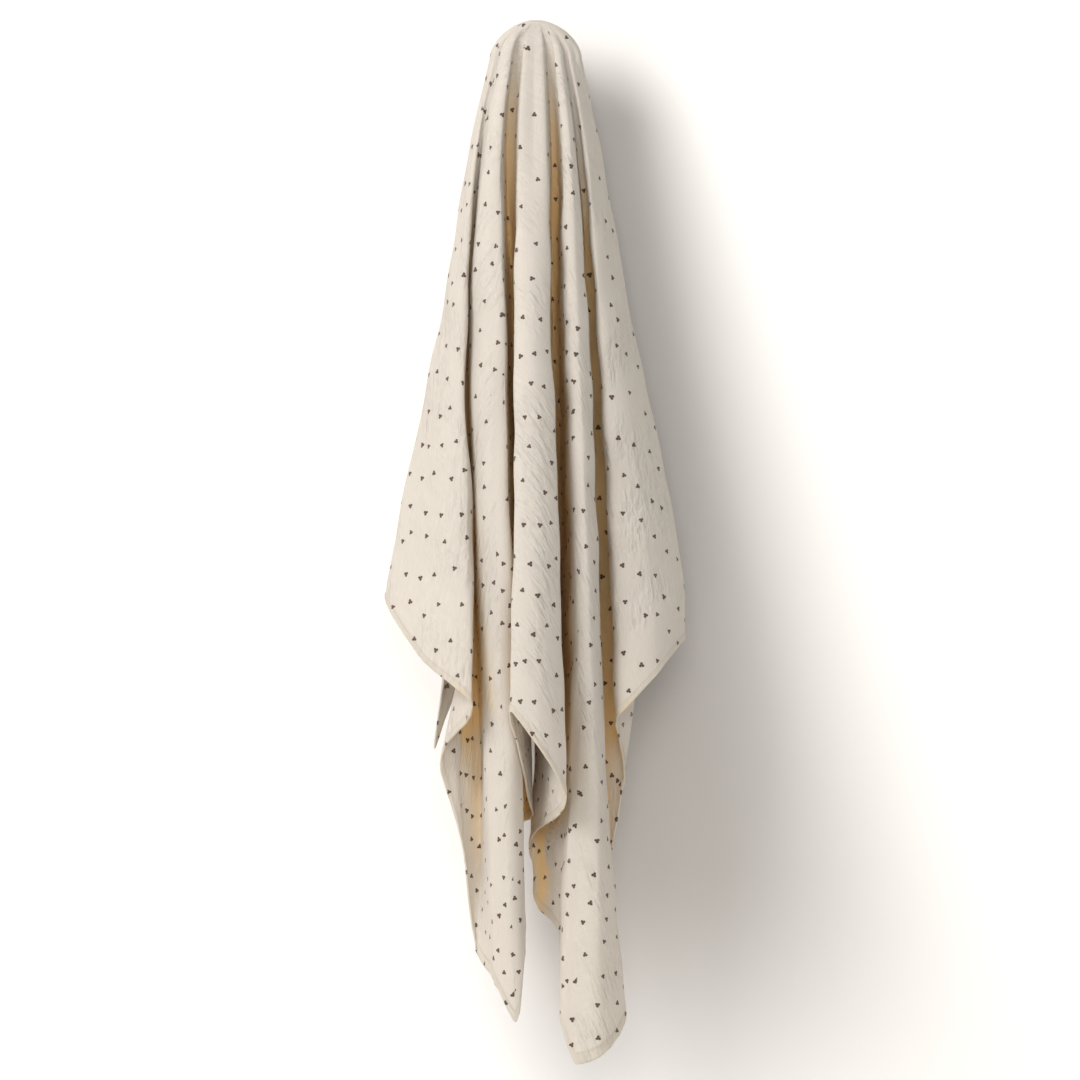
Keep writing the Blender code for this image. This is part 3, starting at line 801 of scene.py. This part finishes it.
BEECHES = (0.52, 0.32, 0.165, 1), (0.62, 0.42, 0.24, 1)
BEECH_FLECK, FLECK_SHOWS = (0.30, 0.16, 0.08, 1), 0.45
GRAIN_SCALE, GRAIN_BEND = (60, 9, 60), 1.1  # a metre, along X, Y and Z
FLECK_SCALE, FLECK_VALUES = (1400, 160, 1400), (0.62, 0.72)
RING_WAVES = {"Scale": 1.3, "Distortion": 1.5, "Detail": 2.0}
RING_ROUGHNESSES = 0.52, 0.42


def turned_beech():
    """Beech turned with its grain along the peg's axis Y: bands drawn out along Y and bent by
    noise, and short dark flecks."""
    material, tree, surface = new_material("turned beech")
    place = add(tree, "ShaderNodeTexCoord").outputs["Object"]
    drawn = vector_maths(tree, "MULTIPLY", place, GRAIN_SCALE)
    bend = vector_maths(tree, "SCALE", noise(tree, drawn, 1.0, 4.0)["Color"], GRAIN_BEND)
    bent = vector_maths(tree, "ADD", drawn, bend)
    waves = {"Vector": bent, **RING_WAVES}
    rings = add(tree, "ShaderNodeTexWave", waves, wave_type="BANDS").outputs["Fac"]
    flecked = vector_maths(tree, "MULTIPLY", place, FLECK_SCALE)
    fleck = ramp(tree, noise(tree, flecked, 1.0, 2.0)["Fac"], *FLECK_VALUES)
    grain = colour_mix(tree, rings, *BEECHES)
    colour = colour_mix(tree, maths(tree, "MULTIPLY", fleck, FLECK_SHOWS), grain, BEECH_FLECK)
    height = maths(tree, "MULTIPLY_ADD", fleck, -1.0, rings)
    relief = {"Height": height, "Strength": 0.25, "Distance": 0.0003}
    looks = {
        "Base Color": colour,
        "Roughness": ramp(tree, rings, 0.0, 1.0, *RING_ROUGHNESSES),
        "Normal": add(tree, "ShaderNodeBump", relief).outputs[0],
    }
    tree.links.new(add(tree, "ShaderNodeBsdfPrincipled", looks).outputs[0], surface)
    return material


# ---------------------------------------------------------------- wall, floor, light and camera

# The wall glows with painted light of this colour and strength, except in a painted shadow beside
# the blanket
WALL_PAINT, PAINTED_WALL_LIGHT, PAINTED_LIGHT_COLOUR = (0.565, 0.54, 0.515), 0.48, (1, 0.985, 0.96, 1)
FLOOR_PAINT = (0.80, 0.785, 0.76)
DARKER = 0.985  # share of a paint's colour where it is darkest
WALL_Y, WALL_TOP, FLOOR_Z, ROOM = 0.001, 2.5, -1.35, 4.0

# The painted shadow on the wall: its edge at the peg, how much further out it is and how much
# softer for each metre of drop
SHADE_EDGE, SHADE_LEAN = 0.11, 0.26
SHADE_SOFT, SHADE_SOFTER = 0.04, 0.14
# Where it fades out: to the left in x, at the top and at the foot in z
SHADE_LEFT, SHADE_TOP, SHADE_FOOT = (-0.06, 0.02), (0.06, -0.06), (-1.06, -0.72)


def painted_wall_shadow_group():
    """Painted shadow of the blanket on the wall: Glow, the share of the wall's painted light, is 1
    on the open wall and less beside the blanket, on the side away from the key light.

    The edge of the painted shadow leans outwards, x = 0.11 + 0.26 t, for the drop t below the peg,
    and its softness grows with t.
    """
    tree, given, out = new_group("painted wall shadow", {"Vector": VECTOR}, {"Glow": FLOAT})
    place = split(tree, given["Vector"])
    drop = maths(tree, "MAXIMUM", maths(tree, "MULTIPLY", place["Z"], -1.0), 0.0)
    edge = maths(tree, "MULTIPLY_ADD", drop, SHADE_LEAN, SHADE_EDGE)
    past = maths(tree, "SUBTRACT", place["X"], edge)
    soft = maths(tree, "MULTIPLY_ADD", drop, SHADE_SOFTER, SHADE_SOFT)
    right = ramp(tree, maths(tree, "DIVIDE", past, soft), 1.0, -1.0)
    left = ramp(tree, place["X"], *SHADE_LEFT)
    above, below = ramp(tree, place["Z"], *SHADE_TOP), ramp(tree, place["Z"], *SHADE_FOOT)
    sideways, upright = maths(tree, "MULTIPLY", right, left), maths(tree, "MULTIPLY", above, below)
    shaded = maths(tree, "MULTIPLY", sideways, upright)
    tree.links.new(maths(tree, "SUBTRACT", 1.0, shaded), out["Glow"])
    return tree


def matt_paint(tree, place, colour):
    """Shader of matt pale paint, a little uneven."""
    darker = [DARKER * c for c in colour]
    tone = colour_mix(tree, noise(tree, place, 3.0, 2.0)["Fac"], (*darker, 1), (*colour, 1))
    looks = {"Base Color": tone, "Roughness": 0.95, "Specular IOR Level": 0.0}
    return add(tree, "ShaderNodeBsdfPrincipled", looks)


def pale_floor():
    material, tree, surface = new_material("pale floor")
    place = add(tree, "ShaderNodeTexCoord").outputs["Object"]
    tree.links.new(matt_paint(tree, place, FLOOR_PAINT).outputs[0], surface)
    return material


def white_wall():
    """Painted wall which glows with painted light, dimmed in a painted shadow beside the blanket,
    and which can't be seen from behind.
    """
    material, tree, surface = new_material("white wall")
    place = add(tree, "ShaderNodeTexCoord").outputs["Object"]
    shader = matt_paint(tree, place, WALL_PAINT)
    # Painted light and shadow: the wall's glow is taken away where the blanket's shadow is painted.
    outside_painted_shadow = use_group(tree, painted_wall_shadow_group(), {"Vector": place})["Glow"]
    shader.inputs["Emission Color"].default_value = PAINTED_LIGHT_COLOUR
    glow = maths(tree, "MULTIPLY", outside_painted_shadow, PAINTED_WALL_LIGHT)
    tree.links.new(glow, shader.inputs["Emission Strength"])
    behind = add(tree, "ShaderNodeNewGeometry").outputs["Backfacing"]
    clear = add(tree, "ShaderNodeBsdfTransparent").outputs[0]
    seen = add(tree, "ShaderNodeMixShader", {0: behind, 1: shader.outputs[0], 2: clear})
    tree.links.new(seen.outputs[0], surface)
    return material


def flat_sheet(name, corners, material):
    mesh = bpy.data.meshes.new(name)
    mesh.from_pydata(corners, [], [tuple(range(len(corners)))])
    mesh.materials.append(material)
    made = bpy.data.objects.new(name, mesh)
    bpy.context.scene.collection.objects.link(made)


def build_stage():
    foot = [(-ROOM, WALL_Y, FLOOR_Z), (ROOM, WALL_Y, FLOOR_Z)]
    head = [(ROOM, WALL_Y, WALL_TOP), (-ROOM, WALL_Y, WALL_TOP)]
    near = [(-ROOM, -2 * ROOM, FLOOR_Z), (ROOM, -2 * ROOM, FLOOR_Z)]
    flat_sheet("wall", foot + head, white_wall())
    flat_sheet("floor", near + foot[::-1], pale_floor())


LIT_MIDDLE = (0, -0.1, -0.45)


def soft_box(name, at, size, power, colour):
    """Square area light at a place, facing the middle of the blanket."""
    light = bpy.data.lights.new(name, "AREA")
    light.shape, light.size, light.energy, light.color = "SQUARE", size, power, colour
    lamp = bpy.data.objects.new(name, light)
    lamp.location = at
    towards = Vector(LIT_MIDDLE) - Vector(at)
    lamp.rotation_euler = towards.to_track_quat("-Z", "Y").to_euler()
    bpy.context.scene.collection.objects.link(lamp)


def build_light():
    """Key light from the upper left, fill light from the room and a pale sky."""
    soft_box("key light", (-2.3, -2.1, 1.75), size=1.8, power=104, colour=(1.0, 0.99, 0.985))
    soft_box("fill light", (0.2, -4.2, 0.6), size=1.5, power=46, colour=(1.0, 0.985, 0.955))
    world = bpy.data.worlds.new("studio")
    world.use_nodes = True
    sky = world.node_tree.nodes["Background"].inputs
    sky["Color"].default_value = (0.97, 0.99, 1.0, 1)
    sky["Strength"].default_value = 0.50
    bpy.context.scene.world = world


# The photo's frame at the depth of the middle of the folds: its width, and its centre in x and z
FRAME_WIDTH = 0.972
FRAME_CENTRE = (0.0036, -0.4334)
MIDDLE_DEPTH = -0.12
CAMERA_AWAY, SEEN_TO = 14.0, 60
SENSOR = 36  # mm


def build_camera():
    camera = bpy.data.cameras.new("camera")
    camera.sensor_width = SENSOR
    camera.lens = SENSOR * CAMERA_AWAY / FRAME_WIDTH
    camera.clip_end = SEEN_TO
    holder = bpy.data.objects.new("camera", camera)
    holder.location = (FRAME_CENTRE[0], MIDDLE_DEPTH - CAMERA_AWAY, FRAME_CENTRE[1])
    holder.rotation_euler = (np.pi / 2, 0, 0)
    bpy.context.scene.collection.objects.link(holder)
    bpy.context.scene.camera = holder
    bpy.context.scene.view_settings.view_transform = "Standard"


build_camera()
build_light()
build_stage()

blanket = build_blanket()
blanket.data.materials.append(muslin())
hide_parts("blanket")
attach(blanket, "root")

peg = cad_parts["peg"]
peg.data.materials.clear()
peg.data.materials.append(turned_beech())
